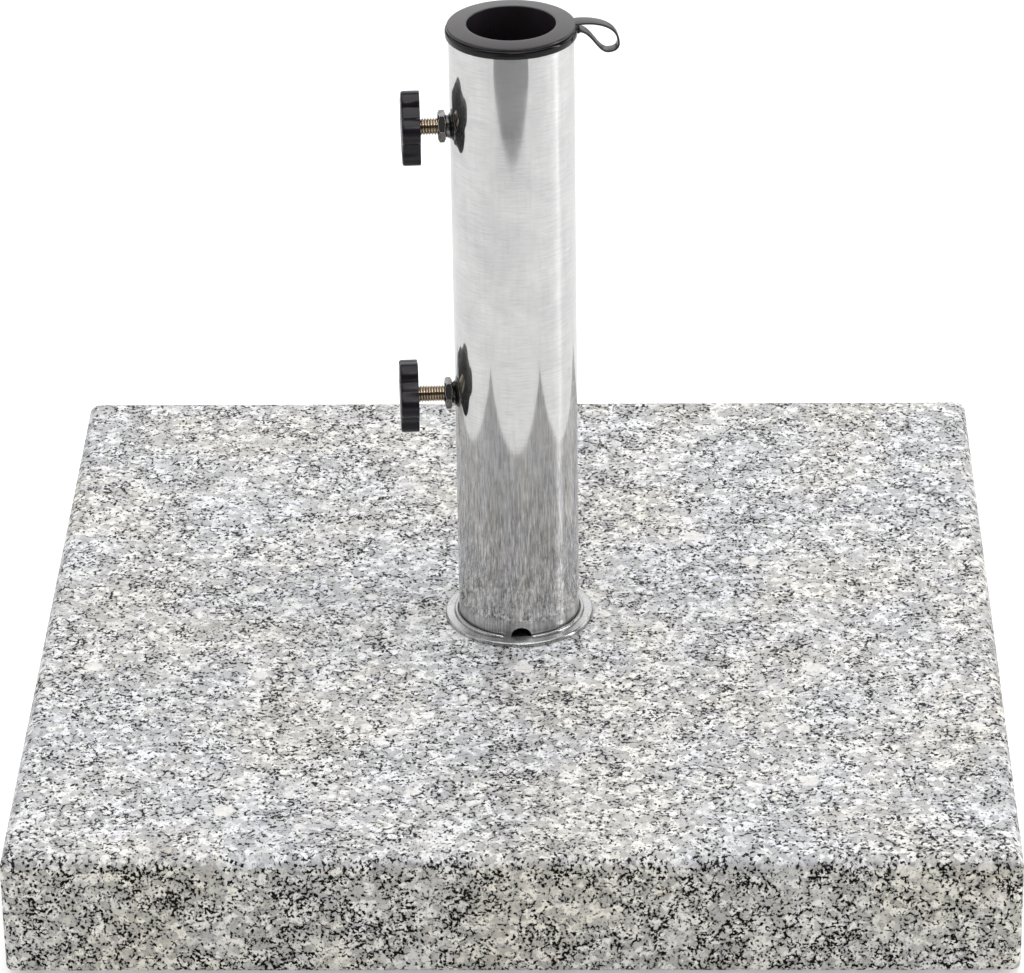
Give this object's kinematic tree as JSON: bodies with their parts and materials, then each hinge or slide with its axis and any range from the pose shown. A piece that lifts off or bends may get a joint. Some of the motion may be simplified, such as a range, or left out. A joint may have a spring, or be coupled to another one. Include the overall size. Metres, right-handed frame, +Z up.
{
  "type": "parasol base",
  "caption": "Free-standing parasol base: square granite slab, upright stainless tube, two clamping screws with star knobs, and a lift-out reducer ring on a strap.",
  "frame": {"origin": "on the ground under the centre of the slab, where the undersides of the four feet lie at z = 0", "axes": "+Z up along the tube's axis; +X towards the side of the tether strap, with the clamping screws on the -X side; X and Y along the slab's sides"},
  "size_m": [0.45, 0.45, 0.3626],
  "materials": {
    "granite": "light grey speckled granite, fine ground, faintly polished top",
    "foot_rubber": "matt black rubber",
    "polished_stainless": "polished stainless steel",
    "nut_stainless": "stainless steel, slightly heat-tinted",
    "screw_steel": "yellow-passivated zinc-plated steel",
    "zinc_steel": "zinc-plated steel",
    "knob_plastic": "black moulded plastic, satin gloss",
    "collar_plastic": "black flexible moulded plastic, satin",
    "pad_plastic": "black plastic"
  },
  "bodies": {
    "stand": {"granite_slab": "granite", "rubber_feet": "foot_rubber", "base_flange": "polished_stainless", "upright_tube": "polished_stainless", "anchor_bolt": "zinc_steel", "anchor_spring_washer": "zinc_steel", "anchor_washer": "zinc_steel", "anchor_nut": "nut_stainless", "upper_weld_nut": "nut_stainless", "lower_weld_nut": "nut_stainless", "tube_collar": "collar_plastic", "tether_strap": "collar_plastic"},
    "reducer": {"reducer_ring": "collar_plastic"},
    "upper_pad": {"upper_pressure_pad": "pad_plastic"},
    "upper_clamp": {"upper_screw": "screw_steel", "upper_knob": "knob_plastic"},
    "lower_pad": {"lower_pressure_pad": "pad_plastic"},
    "lower_clamp": {"lower_screw": "screw_steel", "lower_knob": "knob_plastic"}
  },
  "joints": [
    {"name": "reducer_lift", "type": "slide", "parent": "stand", "child": "reducer", "axis": [0, 0, 1], "range_m": [0, 0.028]},
    {"name": "upper_screw_travel", "type": "slide", "parent": "stand", "child": "upper_pad", "axis": [0.9976, 0.0698, 0], "range_m": [-0.00693, 0.00805]},
    {"name": "upper_knob_turn", "type": "hinge", "parent": "upper_pad", "child": "upper_clamp", "pos_m": [-0.042, -0.00294, 0.3138], "axis": [0.9976, 0.0698, 0], "range_deg": [-1980, 2304]},
    {"name": "lower_screw_travel", "type": "slide", "parent": "stand", "child": "lower_pad", "axis": [0.9976, 0.0698, 0], "range_m": [-0.0028, 0.01205]},
    {"name": "lower_knob_turn", "type": "hinge", "parent": "lower_pad", "child": "lower_clamp", "pos_m": [-0.04549, -0.00318, 0.1786], "axis": [0.9976, 0.0698, 0], "range_deg": [-792, 3456]}
  ],
  "couplings": [
    {"joint": "upper_screw_travel", "follows": "upper_knob_turn", "m_per_rad": 0.00019894},
    {"joint": "lower_screw_travel", "follows": "lower_knob_turn", "m_per_rad": 0.00019894}
  ]
}
